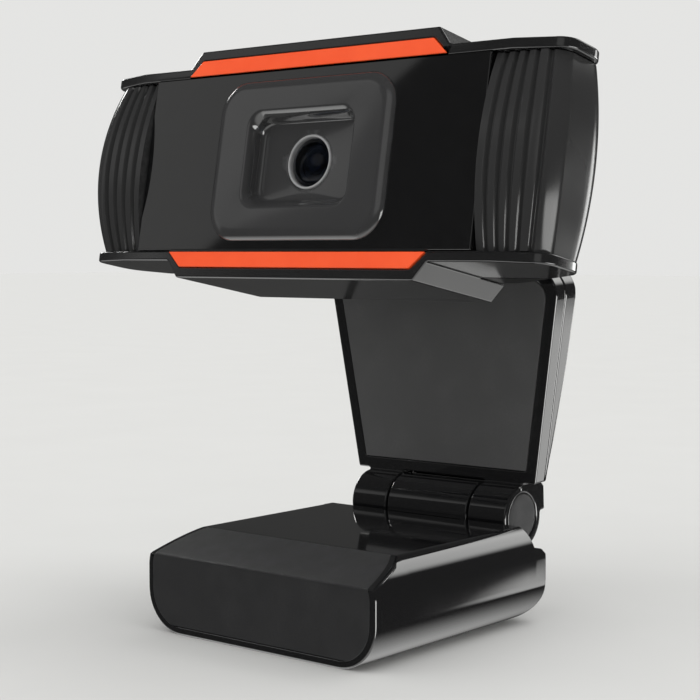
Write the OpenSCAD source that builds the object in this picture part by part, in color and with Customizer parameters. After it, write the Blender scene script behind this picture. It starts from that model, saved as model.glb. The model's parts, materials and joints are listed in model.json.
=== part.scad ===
// Clip-on webcam standing on its folding clip: a wide barrel-shaped camera head on
// a friction-hinged neck, which folds on a block-shaped base.
// X runs across the camera, -Y is the way it looks, +Z is up. Millimetres.

/* [Base] */
// Width of the base block
base_w = 40; // [38:0.5:42]
// Height of the base block
base_h = 13.5; // [13.2:0.1:13.9]
// Depth of the base block, to its upper rear wall
base_d = 35.9; // [34.8:0.1:36.0]
// Height of the front face below the sloping strip
base_front_h = 10.65; // [10:0.05:11.5]
// Depth of the sloping strip behind the front face
base_slope_d = 7.9; // [6:0.1:9]
// Wall thickness of the base and head shells
wall = 1.7; // [1.4:0.1:2]

/* [Fold hinge] */
// Distance of the fold axis behind the front face of the base
fold_d = 41.5; // [41.2:0.1:41.8]
// Height of the fold axis
fold_z = 13.8; // [13.6:0.1:14]
// Radius of the fold hinge barrel
fold_r = 4.63; // [4.4:0.01:4.7]
// Half the length of the fold hinge barrel
fold_half = 14.05; // [13:0.05:15]
// Half the length of the middle knuckle
fold_mid = 7.2; // [6.5:0.1:8]

/* [Neck] */
// Forward lean of the neck, in degrees
neck_lean = 2.9; // [1:0.1:4]
// Height of the neck plate's top edge above the fold axis, along the neck
neck_top = 36; // [35.5:0.1:36.2]
// Half width of the neck plate at its lower edge
neck_half_low = 16.2; // [15:0.1:17]
// Half width of the neck plate at its top edge
neck_half_top = 21.1; // [20:0.1:22]
// Width of the border round the neck pad
neck_border = 1.8; // [1.4:0.1:2.2]

/* [Head] */
// Upward tilt of the head at rest, in degrees
head_tilt = 10.2; // [8:0.1:11]
// Half height of the main barrel of the head
head_half_h = 13.7; // [13.2:0.1:14]
// Half height over the raised middle sections
raised_half_h = 16.1; // [15.5:0.1:16.5]
// Half width of the head over the rims at its ends
head_half_w = 39.5; // [38:0.5:41]
// Depth of the head at the middle of its rear hump
head_d = 29; // [28:0.1:29.4]
// Half width of the flat face panel
panel_half_w = 29.05; // [28:0.05:29.2]
// Radius of the visible lens ring
ring_r = 3.75; // [3:0.05:4]

/* [Hidden] */
$fn = 64;
gap = 0.3;      // clearance between pieces that move on each other
cut = 0.5;      // overrun of a cutting shape past the face it cuts

// Tilt hinge, placed in the neck's own frame (origin on the fold axis, Z along the neck)
tilt_r = 4.2;
tilt_ear_in = 6.2;
tilt_ear_out = 12.2;
tilt_ny = tilt_r + 0.2;
tilt_nz = neck_top + 5.5;

// The whole object is centred on the origin front to back
total_d = fold_d + tilt_ny * cos(neck_lean) - tilt_nz * sin(neck_lean) + tilt_r;
front_y = -total_d / 2;
fold_y = front_y + fold_d;
tilt_y = fold_y + tilt_ny * cos(neck_lean) - tilt_nz * sin(neck_lean);
tilt_z = fold_z + tilt_ny * sin(neck_lean) + tilt_nz * cos(neck_lean);

// Centre of the head's face
face_y = front_y + 9;
face_z = 64.2;
// Tilt axis in the head's frame, as depth behind the face and height
tilt_d = (tilt_y - face_y) * cos(head_tilt) - (tilt_z - face_z) * sin(head_tilt);
tilt_h = (tilt_y - face_y) * sin(head_tilt) + (tilt_z - face_z) * cos(head_tilt);

// Hinge pins and the discs that close their ends
pin_r = 1.5;
sleeve_r = 2.6;
press = 0.02;
run_fit = 0.05;
cap_t = 1.2;
cap_r = 3.4;
tilt_cap_r = 3.0;

// Base details
base_half = base_w / 2;
base_r_low = 6;
base_r_top = 5;
base_top_half = 17.1;
base_top_x = base_half - base_r_top;
base_shoulder = base_h - sqrt(base_r_top * base_r_top - pow(base_top_half - base_top_x, 2));
lip_d = 38.3;
lip_r = 4.5;
notch_r = fold_r + 0.57;
pad_t = 0.8;
pad_border = 0.9;
cover_t = 2;
cover_half = 13.9;
cover_front = 3.4;
cover_back = 32.4;
base_screws = [[-11, 7], [11, 7], [-11, 28.8], [11, 28.8]];

// Neck details
neck_low = 4.9;
neck_split = 2.5;
neck_pad_t = 0.6;
neck_slot_half = tilt_ear_in + 0.1;
neck_slot_z = neck_top - 2.8;
neck_screw_pts = [[-11, 13], [11, 13], [-13, 29], [13, 29]];

// Head details
rim_t = 1.4;
rim_z = head_half_h - rim_t;
raised_d = 17.8;
raised_half_out = 20.7;
raised_half_in = 22.6;
strip_z = [12.5, 14.6];
strip_half = [22.4, 20.1];
split_d = 12;
end_x = 29.3;
end_corner = [37.2, 3.3, 2.3];
end_back = [35.5, 6.5, 4.0];
wing_in = [22.6, 18.3];
wing_out = [34.2, 11.8];
hump_r = 20;
barrel_d = head_d - head_half_h;
seat_z = -8.6;
swivel_d = 22;
panel_t = 1.5;
face_wall_d = 3.0;
bezel_half = [15.2, 11.0];
bezel_hole = [13.3, 9.3];
bezel_proud = 0.9;
funnel_half = [9.0, 6.5];
funnel_d = 2.4;
board_d = 14;
board_t = 1.2;
board_half = [21.8, 9.5];
board_holes = [[-19.5, -7], [19.5, -7], [-19.5, 7], [19.5, 7]];
cover_holes = [[-25.2, -9], [25.2, -9], [-25.2, 9], [25.2, 9]];
cover_screw_r = 1.0;
gland_z = 6.8;
gland_hole_r = 1.8;
gland_r = 2.6;
gland_in = 20.1;
gland_out = 30.5;

// ---- helpers ----

module along_y(a, b) {
    translate([0, b, 0]) rotate([90, 0, 0]) linear_extrude(b - a) children();
}

module along_x(a, b) {
    translate([a, 0, 0]) rotate([90, 0, 90]) linear_extrude(b - a) children();
}

module rod(r, a, b) {
    translate([a, 0, 0]) rotate([0, 90, 0]) cylinder(r = r, h = b - a);
}

module post(r, a, b) {
    translate([0, b, 0]) rotate([90, 0, 0]) cylinder(r = r, h = b - a);
}

module both_sides() {
    children();
    mirror([1, 0, 0]) children();
}

module round_rect(half, r) {
    square([2 * half[0], 2 * (half[1] - r)], center = true);
    square([2 * (half[0] - r), 2 * half[1]], center = true);
    for (sx = [-1, 1]) {
        for (sy = [-1, 1]) {
            translate([sx * (half[0] - r), sy * (half[1] - r)]) circle(r);
        }
    }
}

module in_base() {
    translate([0, front_y, 0]) children();
}

module in_neck() {
    translate([0, fold_y, fold_z]) rotate([neck_lean, 0, 0]) children();
}

module in_head() {
    translate([0, face_y, face_z]) rotate([-head_tilt, 0, 0]) children();
}

// ---- base ----

// Front view of the base, drawn t inside its outer faces; the flat top cuts its upper corners short
module base_outline(t) {
    low = base_half - base_r_low;
    crown = base_shoulder + base_r_top - t;
    both_sides() {
        polygon([[0, t], [low, t], [base_half - t, base_r_low],
                 [base_half - t, base_shoulder], [base_top_x, crown], [0, crown]]);
        translate([low, base_r_low]) circle(base_r_low - t);
        translate([base_top_x, base_shoulder]) circle(base_r_top - t);
    }
}

// Side view of the base: sloping strip, rear wall, hinge notch and rounded lip
module base_side() {
    difference() {
        union() {
            polygon([[0, 0], [0, base_front_h], [base_slope_d, base_h], [base_d, base_h],
                     [base_d, 10.5], [lip_d, 10.5], [lip_d, lip_r], [lip_d - lip_r, 0]]);
            translate([lip_d - lip_r, lip_r]) circle(lip_r);
        }
        translate([fold_d, fold_z]) circle(notch_r);
    }
}

module base_body() {
    intersection() {
        along_y(0, lip_d) base_outline(0);
        along_x(-base_half, base_half) base_side();
    }
}

// The bent matt pad that covers the front face and the sloping strip
module front_pad_solid() {
    half = base_half - pad_border;
    low_r = base_r_low - pad_border;
    top = base_top_x - pad_border;
    crown = base_shoulder + base_r_top;
    intersection() {
        along_x(-half, half)
            polygon([[0, 0], [0, base_front_h], [base_slope_d, base_h],
                     [base_slope_d, base_h - pad_t], [pad_t, base_front_h - 0.55], [pad_t, 0]]);
        along_y(-cut, base_slope_d + cut) both_sides() {
            polygon([[0, pad_border], [half - low_r, pad_border], [half, base_r_low],
                     [half, base_shoulder], [top, crown], [0, crown]]);
            translate([half - low_r, base_r_low]) circle(low_r);
            translate([top, base_shoulder]) circle(base_r_top);
        }
    }
}

module base_housing() {
    color([0.08, 0.08, 0.09]) in_base() difference() {
        union() {
            difference() {
                base_body();
                front_pad_solid();
                intersection() {
                    along_y(2.6, base_d - wall - 0.7) base_outline(wall);
                    along_x(-base_half, base_half)
                        polygon([[2.6, cover_t], [2.6, base_front_h - 1.4],
                                 [base_slope_d + 0.6, base_h - wall - 0.6],
                                 [base_d - wall, base_h - wall - 0.6], [base_d - wall, cover_t]]);
                }
                translate([-cover_half - 0.1, cover_front - 0.1, -cut])
                    cube([2 * cover_half + 0.2, cover_back - cover_front + 0.2, cover_t + cut + 0.1]);
            }
            for (p = base_screws) {
                translate([p[0], p[1], cover_t + 0.1]) cylinder(r = 2.1, h = base_h - cover_t - wall - 0.5);
            }
            along_x(-fold_mid, fold_mid)
                polygon([[base_d - 0.6, 9.7], [base_d - 0.6, base_h], [fold_d - fold_r, base_h],
                         [fold_d, fold_z], [lip_d, 9.8]]);
            translate([0, fold_d, fold_z]) rod(fold_r, -fold_mid, fold_mid);
        }
        for (p = base_screws) {
            translate([p[0], p[1], 0]) cylinder(r = 0.8, h = 8.4);
        }
        translate([0, fold_d, fold_z]) rod(sleeve_r + press, -fold_mid - cut, fold_mid + cut);
    }
}

module base_front_pad() {
    color([0.17, 0.17, 0.18]) in_base() front_pad_solid();
}

module base_bottom_cover() {
    color([0.09, 0.09, 0.1]) in_base() difference() {
        translate([-cover_half, cover_front, 0])
            cube([2 * cover_half, cover_back - cover_front, cover_t]);
        translate([-8.5, cover_front + 1.5, -cut]) cube([17, cover_back - cover_front - 3, pad_t + cut]);
        for (p = base_screws) {
            translate([p[0], p[1], -cut]) cylinder(r = 1.05, h = cover_t + 2 * cut);
            translate([p[0], p[1], -cut]) cylinder(r = 2.05, h = 0.9 + cut);
        }
    }
}

module base_bottom_pad() {
    color([0.13, 0.13, 0.14]) in_base()
        translate([-8.5, cover_front + 1.5, 0]) cube([17, cover_back - cover_front - 3, pad_t]);
}

// A small pan-head screw standing on z = 0 with its shank upwards
module small_screw(head_r, head_t, shank_r, length) {
    difference() {
        union() {
            cylinder(r = head_r, h = head_t);
            cylinder(r = shank_r, h = length);
        }
        for (a = [0, 90]) {
            rotate([0, 0, a]) translate([-head_r * 0.65, -0.2, -cut]) cube([head_r * 1.3, 0.4, head_t * 0.5 + cut]);
        }
    }
}

module base_cover_screws() {
    color([0.62, 0.62, 0.64]) in_base() for (p = base_screws) {
        translate([p[0], p[1], 0.1]) small_screw(1.9, 0.8, 0.78, 7.6);
    }
}

module fold_friction_sleeve() {
    color([0.75, 0.62, 0.35]) translate([0, fold_y, fold_z]) difference() {
        rod(sleeve_r, -fold_mid, fold_mid);
        rod(pin_r + run_fit, -fold_mid - cut, fold_mid + cut);
    }
}

// ---- neck ----

function neck_half(z) = neck_half_low + (neck_half_top - neck_half_low) * (z - neck_low) / (neck_top - neck_low);

// Front view of the neck plate, t inside its edges, with rounded top corners
module neck_outline(t, r) {
    slope = atan((neck_half_top - neck_half_low) / (neck_top - neck_low));
    zc = neck_top - t - r;
    xc = neck_half(zc) - (t + r) / cos(slope);
    both_sides() {
        polygon([[0, neck_low + t], [neck_half(neck_low + t) - t / cos(slope), neck_low + t],
                 [xc + r * cos(slope), zc - r * sin(slope)], [xc, zc + r], [0, zc + r]]);
        translate([xc, zc]) circle(r);
    }
}

// Side view of the neck's back from depth a, t inside its rear face
module neck_back_side(a, t) {
    polygon([[a, neck_low], [2.8 - t, neck_low], [3.8 - t, 11], [4.9 - t, 22],
             [5.4 - t, 34], [5.4 - t, neck_top], [a, neck_top]]);
}

// Side view of the strip behind the middle knuckle, which closes the slot under the plate
module hinge_guard() {
    polygon([[5.0, 0.6], [5.8, 0.6], [5.8, 3.8], [4.9, 4.7], [neck_split, 4.7],
             [neck_split, 4.4], [3.5, 3.6], [4.4, 2.4]]);
}

module neck_front_shell() {
    color([0.07, 0.07, 0.08]) in_neck() difference() {
        union() {
            along_y(0, neck_split) neck_outline(0, 4);
            both_sides() along_x(fold_mid + gap, fold_half) {
                circle(fold_r);
                polygon([[0, 0], [5.8, 0.2], [5.8, 3.8], [4.9, 4.7], [neck_split, 4.7],
                         [neck_split, 8], [0, 8]]);
            }
            along_x(-fold_mid - 2 * gap, fold_mid + 2 * gap) hinge_guard();
            both_sides() along_x(tilt_ear_in, tilt_ear_out) {
                translate([tilt_ny, tilt_nz]) circle(tilt_r);
                polygon([[0.2, neck_top - 2], [neck_split, neck_top - 2], [neck_split, neck_top + 0.2],
                         [5.6, neck_top + 0.2], [tilt_ny + tilt_r, tilt_nz],
                         [tilt_ny - tilt_r, tilt_nz]]);
            }
        }
        along_y(-cut, neck_pad_t) neck_outline(neck_border, 2.6);
        translate([-neck_slot_half, -cut, neck_slot_z])
            cube([2 * neck_slot_half, neck_split + 2 * cut, neck_top - neck_slot_z + cut]);
        rod(pin_r + press, -fold_half - cut, fold_half + cut);
        both_sides() rod(cap_r + 0.05, fold_half - cap_t, fold_half + cut);
        translate([0, tilt_ny, tilt_nz]) {
            rod(pin_r + press, -tilt_ear_out - cut, tilt_ear_out + cut);
            both_sides() rod(tilt_cap_r + 0.05, tilt_ear_out - cap_t, tilt_ear_out + cut);
        }
        for (p = neck_screw_pts) {
            translate([p[0], 0, p[1]]) post(0.6, neck_pad_t + 0.4, neck_split + cut);
        }
    }
}

module neck_back_cover() {
    color([0.07, 0.07, 0.08]) in_neck() difference() {
        intersection() {
            along_y(neck_split, 6) neck_outline(0, 4);
            along_x(-neck_half_top, neck_half_top) neck_back_side(neck_split, 0);
        }
        difference() {
            intersection() {
                along_y(neck_split - cut, 6) neck_outline(1.3, 2.7);
                along_x(-neck_half_top, neck_half_top) neck_back_side(0, 1.1);
            }
            for (p = neck_screw_pts) {
                translate([p[0], 0, p[1]]) post(2.2, neck_split - cut, 6);
            }
            both_sides() translate([tilt_ear_in - 1.3, 0, neck_top - 5]) cube([8.6, 6, 5]);
        }
        both_sides() translate([fold_mid, neck_split - cut, neck_low - cut])
            cube([fold_half - fold_mid + gap, 1 + cut, 0.5]);
        translate([-neck_slot_half, neck_split - cut, neck_slot_z])
            cube([2 * neck_slot_half, 6, neck_top - neck_slot_z + cut]);
        for (p = neck_screw_pts) {
            translate([p[0], 0, p[1]]) post(0.75, neck_split - cut, 6);
            translate([p[0], 0, p[1]]) post(1.5, 3.4, 7);
        }
    }
}

module neck_pad() {
    color([0.24, 0.24, 0.25]) in_neck() difference() {
        along_y(0, neck_pad_t) neck_outline(neck_border, 2.6);
        translate([-neck_slot_half, -cut, neck_slot_z])
            cube([2 * neck_slot_half, neck_split + 2 * cut, neck_top - neck_slot_z + cut]);
    }
}

module neck_screws() {
    color([0.6, 0.6, 0.62]) in_neck() for (p = neck_screw_pts) {
        translate([p[0], 4.0, p[1]]) rotate([90, 0, 0]) translate([0, 0, -0.2]) small_screw(1.4, 0.7, 0.58, 3.0);
    }
}

module fold_pin() {
    color([0.7, 0.7, 0.72]) in_neck() rod(pin_r, -fold_half + cap_t, fold_half - cap_t);
}

// A hinge end disc with its outer face at x = face
module end_cap(r, face) {
    rod(r, face - cap_t, face);
}

module fold_end_caps() {
    color([0.2, 0.2, 0.21]) in_neck() both_sides() end_cap(cap_r, fold_half);
}

module tilt_pin() {
    color([0.7, 0.7, 0.72]) in_neck() translate([0, tilt_ny, tilt_nz])
        rod(pin_r, -tilt_ear_out + cap_t, tilt_ear_out - cap_t);
}

module tilt_end_caps() {
    color([0.2, 0.2, 0.21]) in_neck() translate([0, tilt_ny, tilt_nz])
        both_sides() end_cap(tilt_cap_r, tilt_ear_out);
}

// ---- swivel bracket, between the neck and the head ----

arm_half = 5.5;
arm_top = seat_z - 0.6;
arm_t = 2.0;
stud_r = 2.0;

module swivel_bracket() {
    color([0.09, 0.09, 0.1]) in_head() difference() {
        union() {
            translate([0, swivel_d, arm_top - arm_t]) cylinder(r = 3.9, h = arm_t);
            along_x(-arm_half, arm_half)
                polygon([[swivel_d, arm_top], [31.3, arm_top], [31.7, tilt_h - 2], [tilt_d - 3.6, tilt_h],
                         [tilt_d, tilt_h], [tilt_d + 1.2, tilt_h - 4], [30.5, arm_top - arm_t],
                         [swivel_d, arm_top - arm_t]]);
            translate([0, tilt_d, tilt_h]) rod(tilt_r, -tilt_ear_in + gap, tilt_ear_in - gap);
        }
        translate([0, tilt_d, tilt_h]) rod(sleeve_r + press, -tilt_ear_in, tilt_ear_in);
        translate([0, swivel_d, arm_top - arm_t - cut]) cylinder(r = stud_r + run_fit, h = arm_t + 2 * cut);
    }
}

module tilt_friction_sleeve() {
    color([0.75, 0.62, 0.35]) in_head() translate([0, tilt_d, tilt_h]) difference() {
        rod(sleeve_r, -tilt_ear_in + gap, tilt_ear_in - gap);
        rod(pin_r + run_fit, -tilt_ear_in, tilt_ear_in);
    }
}

module swivel_washer() {
    color([0.7, 0.7, 0.72]) in_head() translate([0, swivel_d, seat_z - 0.5]) difference() {
        cylinder(r = 3.6, h = 0.5);
        translate([0, 0, -cut]) cylinder(r = stud_r + press, h = 0.5 + 2 * cut);
    }
}

module swivel_stud() {
    color([0.7, 0.7, 0.72]) in_head() translate([0, swivel_d, 0]) {
        translate([0, 0, arm_top - arm_t - 0.9]) cylinder(r = 3.3, h = 0.8);
        translate([0, 0, arm_top - arm_t - 0.9]) cylinder(r = stud_r, h = seat_z - arm_top + arm_t + 0.9);
        translate([0, 0, seat_z]) cylinder(r = 1.5, h = 5.5);
    }
}

// ---- head ----

// Plan of the head: flat front, rounded ends, wings that taper back and a rear hump
module head_plan() {
    both_sides() {
        polygon([[0, 0], [32, 0], [end_corner[0], end_corner[1] - end_corner[2]],
                 [head_half_w, end_corner[1]], [head_half_w, end_back[1]],
                 [end_back[0] + 0.49 * end_back[2], end_back[1] + 0.87 * end_back[2]],
                 wing_out, wing_in, [14.3, 22.9], [0, 22.9]]);
        translate([end_corner[0], end_corner[1]]) circle(end_corner[2]);
        translate([end_back[0], end_back[1]]) circle(end_back[2]);
    }
    intersection() {
        translate([0, head_d - hump_r]) circle(hump_r);
        translate([-hump_r, split_d]) square([2 * hump_r, hump_r]);
    }
}

// The same plan, t inside the rear faces, for the hollow
module hollow_plan(t) {
    both_sides() polygon([[0, face_wall_d], [end_x - 1.6, face_wall_d], [end_x - 1.6, split_d],
                          [32, split_d - 0.7], [wing_in[0] - 0.5, wing_in[1] - 1.2 - t / 2],
                          [13.5, 21.2], [0, 21.2]]);
    intersection() {
        translate([0, head_d - hump_r]) circle(hump_r - t);
        translate([-hump_r, split_d]) square([2 * hump_r, hump_r]);
    }
}

// Side view of the main barrel, t inside it: flat faces and a half-round back
module barrel_side(t) {
    translate([0, -head_half_h + t]) square([barrel_d, 2 * (head_half_h - t)]);
    translate([barrel_d, 0]) circle(head_half_h - t);
}

module head_barrel() {
    intersection() {
        translate([0, 0, -head_half_h]) linear_extrude(2 * head_half_h) head_plan();
        along_x(-head_half_w, head_half_w) barrel_side(0);
    }
}

// Raised trapezoid section on the top (s = 1) or the underside (s = -1)
module raised_section(s) {
    along_y(0, raised_d)
        polygon([[-raised_half_in, s * (rim_z + 0.5)], [raised_half_in, s * (rim_z + 0.5)],
                 [raised_half_in, s * head_half_h], [raised_half_out, s * raised_half_h],
                 [-raised_half_out, s * raised_half_h], [-raised_half_in, s * head_half_h]]);
}

module accent(s) {
    along_y(-0.25, 0.6)
        polygon([[-strip_half[0], s * strip_z[0]], [strip_half[0], s * strip_z[0]],
                 [strip_half[1], s * strip_z[1]], [-strip_half[1], s * strip_z[1]]]);
}

// Space behind and below the raised underside, where the swivel bracket moves
module seat_cut() {
    translate([-head_half_w, raised_d, -head_half_h - 4])
        cube([2 * head_half_w, head_d, head_half_h + 4 + seat_z]);
}

module head_front_shell() {
    color([0.07, 0.07, 0.08]) in_head() difference() {
        union() {
            intersection() {
                head_barrel();
                translate([-head_half_w - 1, -1, -head_half_h])
                    cube([2 * head_half_w + 2, split_d + 1, 2 * head_half_h]);
            }
            for (s = [-1, 1]) {
                raised_section(s);
            }
        }
        for (s = [-1, 1]) {
            accent(s);
        }
        // room for the face panel, the ribbed ends and the hollow behind the face wall
        translate([-head_half_w - 1, -1, -rim_z]) cube([2 * head_half_w + 2, panel_t + 1, 2 * rim_z]);
        both_sides() translate([end_x, -1, -rim_z]) cube([head_half_w, split_d + 2, 2 * rim_z]);
        translate([-end_x + 1.6, face_wall_d, -rim_z]) cube([2 * end_x - 3.2, split_d, 2 * rim_z]);
        translate([0, -1, 0]) post(5.2, 0, face_wall_d + 2);
        along_y(-1, face_wall_d + cut) round_rect(bezel_hole + [0.05, 0.05], 3);
        // space for the rear cover where the raised sections pass over it
        for (s = [-1, 1]) {
            translate([-head_half_w, split_d, s > 0 ? rim_z - 1 : -head_half_h])
                cube([2 * head_half_w, raised_d, 1 + rim_t]);
        }
    }
    color([0.07, 0.07, 0.08]) in_head() {
        for (p = board_holes) {
            translate([p[0], 0, p[1]]) difference() {
                post(2.2, face_wall_d - 0.4, board_d);
                post(0.75, face_wall_d + 3, board_d + cut);
            }
        }
        for (p = cover_holes) {
            translate([p[0], 0, p[1]]) difference() {
                post(2.3, face_wall_d - 0.4, split_d);
                post(cover_screw_r + 0.03, face_wall_d + 2, split_d + cut);
            }
        }
    }
}

module head_rear_cover() {
    color([0.07, 0.07, 0.08]) in_head() difference() {
        union() {
            difference() {
                intersection() {
                    head_barrel();
                    translate([-head_half_w, split_d, -head_half_h])
                        cube([2 * head_half_w, head_d, 2 * head_half_h]);
                }
                intersection() {
                    translate([0, 0, -head_half_h]) linear_extrude(2 * head_half_h) hollow_plan(wall);
                    along_x(-head_half_w, head_half_w) barrel_side(wall);
                    translate([-head_half_w, 0, seat_z + wall]) cube([2 * head_half_w, head_d, 2 * head_half_h]);
                }
                intersection() {
                    translate([0, 0, -head_half_h]) linear_extrude(2 * head_half_h) hollow_plan(wall);
                    along_x(-head_half_w, head_half_w) barrel_side(wall);
                    translate([-head_half_w, 0, -head_half_h]) cube([2 * head_half_w, raised_d - wall, 2 * head_half_h]);
                }
            }
            translate([0, swivel_d, seat_z + 0.5]) cylinder(r = 3.6, h = 6);
            intersection() {
                head_barrel();
                for (p = cover_holes) {
                    translate([p[0], 0, p[1]]) post(2.6, split_d, head_d);
                }
            }
        }
        seat_cut();
        translate([0, swivel_d, seat_z - cut]) cylinder(r = 1.52, h = 6 + cut);
        for (p = cover_holes) {
            translate([p[0], 0, p[1]]) post(cover_screw_r + 0.1, split_d - cut, head_d);
            translate([p[0], 0, p[1]]) post(2.0, split_d + 1.4, head_d);
        }
        translate([0, 0, gland_z]) post(gland_r + press, barrel_d, head_d + cut);
    }
}

module face_panel() {
    color([0.12, 0.12, 0.13]) in_head() difference() {
        along_y(0, panel_t) square([2 * panel_half_w, 2 * rim_z - 0.1], center = true);
        along_y(-cut, panel_t + cut) round_rect(bezel_hole + [0.05, 0.05], 3);
    }
}

module lens_bezel() {
    color([0.2, 0.2, 0.21]) in_head() difference() {
        union() {
            along_y(-bezel_proud, 0) round_rect(bezel_half, 4.5);
            along_y(0, face_wall_d + 0.6) round_rect(bezel_hole, 3);
        }
        hull() {
            along_y(-bezel_proud - 0.1, -bezel_proud) round_rect(funnel_half, 2.6, $fn = 32);
            along_y(funnel_d - 0.1, funnel_d) circle(ring_r + 0.5, $fn = 48);
        }
        post(ring_r + 0.05, 0, face_wall_d + 2);
    }
}

// Ribbed end grip on the right: bulging sides with upright grooves in the front
module ribbed_end() {
    bulge = 1.1;
    front_big_r = 37.1;
    side_big_r = 50.3;
    side_x = head_half_w + 0.5;
    difference() {
        intersection() {
            translate([0, 0, -rim_z]) linear_extrude(2 * rim_z) {
                polygon([[end_x, -bulge], [32, -bulge], [37, -0.1], [side_x, 2.9], [side_x, 6.5],
                         [37.4, 10.6], [34.5, split_d], [end_x, split_d]]);
                translate([37, 2.9]) circle(3);
                translate([side_x - 4.6, 6.5]) circle(4.6);
            }
            translate([0, front_big_r - bulge, 0]) rod(front_big_r, end_x, side_x + 1);
            translate([side_x - side_big_r, 0, 0]) post(side_big_r, -2, split_d + 1);
            translate([0, -2, -rim_z]) cube([side_x + 1, split_d + 2, 2 * rim_z]);
        }
        // upright grooves between the ribs follow the bulge
        for (x = [end_x + 1.6, end_x + 3.4, end_x + 5.2, end_x + 7.0, end_x + 8.9]) {
            translate([0, front_big_r - bulge, 0]) difference() {
                rod(front_big_r + 4, x, x + 0.7);
                rod(front_big_r - 0.8 - 0.18 * (x - end_x), x - cut, x + 0.7 + cut);
                translate([-cut, -front_big_r + 8, -front_big_r - 5])
                    cube([60, 2 * front_big_r, 2 * front_big_r + 10]);
            }
        }
        // hollow inside, open towards the shell
        translate([end_x - cut, 3.4, -rim_z + 1.6]) cube([5.6 + cut, split_d - 3.4 - 1.6, 2 * rim_z - 3.2]);
    }
}

module right_ribbed_end() {
    color([0.08, 0.08, 0.09]) in_head() ribbed_end();
}

module left_ribbed_end() {
    color([0.08, 0.08, 0.09]) in_head() mirror([1, 0, 0]) ribbed_end();
}

module top_accent_strip() {
    color([0.98, 0.32, 0.14]) in_head() accent(1);
}

module bottom_accent_strip() {
    color([0.98, 0.32, 0.14]) in_head() accent(-1);
}

// ---- camera parts inside the head, along the lens axis ----

module lens_ring() {
    color([0.45, 0.45, 0.47]) in_head() difference() {
        post(ring_r, 1.9, 3.4);
        post(ring_r - 0.75, 1.9 - cut, 3.4 + cut);
    }
}

module lens_glass() {
    color([0.1, 0.12, 0.3]) in_head() intersection() {
        post(ring_r - 0.8, 1.9, 3.6);
        translate([0, 1.95 + 5.2, 0]) sphere(5.2);
    }
}

module lens_barrel() {
    color([0.12, 0.12, 0.13]) in_head() difference() {
        post(3.5, 3.6, 10);
        post(2.6, 4.2, 10 + cut);
        post(2.0, 3.6 - cut, 5);
    }
}

module lens_holder() {
    color([0.1, 0.1, 0.11]) in_head() difference() {
        union() {
            post(4.8, 5.5, 10);
            along_y(9, board_d) square([13, 13], center = true);
        }
        post(3.5 + press, 5, 10.4);
        along_y(11.2, board_d + cut) square([10.4, 10.4], center = true);
        post(3.0, 10, 12);
    }
}

module ir_filter() {
    color([0.6, 0.25, 0.3]) in_head() along_y(11.25, 11.65) square([6.6, 6.6], center = true);
}

module image_sensor() {
    color([0.25, 0.3, 0.28]) in_head() along_y(board_d - 1.4, board_d) square([7.4, 6.6], center = true);
}

module camera_board() {
    color([0.05, 0.3, 0.16]) in_head() difference() {
        along_y(board_d, board_d + board_t) square([2 * board_half[0], 2 * board_half[1]], center = true);
        for (p = board_holes) {
            translate([p[0], 0, p[1]]) post(1.1, board_d - cut, board_d + board_t + cut);
        }
    }
}

module microphone() {
    color([0.68, 0.68, 0.7]) in_head() translate([15, 0, -3]) difference() {
        post(3, board_d - 2.7, board_d);
        post(1.0, board_d - 3, board_d - 2.4);
    }
}

module cable_connector() {
    color([0.88, 0.86, 0.8]) in_head() translate([-8, 0, 0]) difference() {
        along_y(board_d + board_t, board_d + board_t + 4.6) square([8, 5], center = true);
        along_y(board_d + board_t + 1.2, board_d + board_t + 6) square([6.6, 3.4], center = true);
    }
}

module board_screws() {
    color([0.62, 0.62, 0.64]) in_head() for (p = board_holes) {
        translate([p[0], board_d + board_t + 0.7, p[1]]) rotate([90, 0, 0])
            small_screw(1.7, 0.7, 0.73, 5.5);
    }
}

module rear_cover_screws() {
    color([0.62, 0.62, 0.64]) in_head() for (p = cover_holes) {
        translate([p[0], split_d + 2.3, p[1]]) rotate([90, 0, 0])
            small_screw(1.9, 0.85, cover_screw_r, 8);
    }
}

module cable_gland() {
    color([0.1, 0.1, 0.11]) in_head() translate([0, 0, gland_z]) difference() {
        union() {
            post(gland_r, gland_in, gland_out);
            post(gland_r + 0.9, gland_out - 1.9, gland_out - 0.9);
            post(gland_r + 0.9, gland_in, gland_in + 1);
        }
        post(gland_hole_r, gland_in - cut, gland_out + cut);
    }
}

base_housing();
base_front_pad();
base_bottom_cover();
base_bottom_pad();
base_cover_screws();
fold_friction_sleeve();
neck_front_shell();
neck_back_cover();
neck_pad();
neck_screws();
fold_pin();
fold_end_caps();
tilt_pin();
tilt_end_caps();
swivel_bracket();
tilt_friction_sleeve();
swivel_stud();
swivel_washer();
head_front_shell();
head_rear_cover();
face_panel();
lens_bezel();
left_ribbed_end();
right_ribbed_end();
top_accent_strip();
bottom_accent_strip();
lens_ring();
lens_glass();
lens_barrel();
lens_holder();
ir_filter();
image_sensor();
camera_board();
microphone();
cable_connector();
board_screws();
rear_cover_screws();
cable_gland();
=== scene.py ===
"""Looks of the clip webcam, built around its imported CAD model.

The head, the neck and the base each have a local frame in millimetres, taken from the
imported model's joints and mounts. X runs across, Y goes back and Z goes up in all of them.
"""

import json
import math

import bmesh
import bpy
from mathutils import Matrix, Vector


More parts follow.
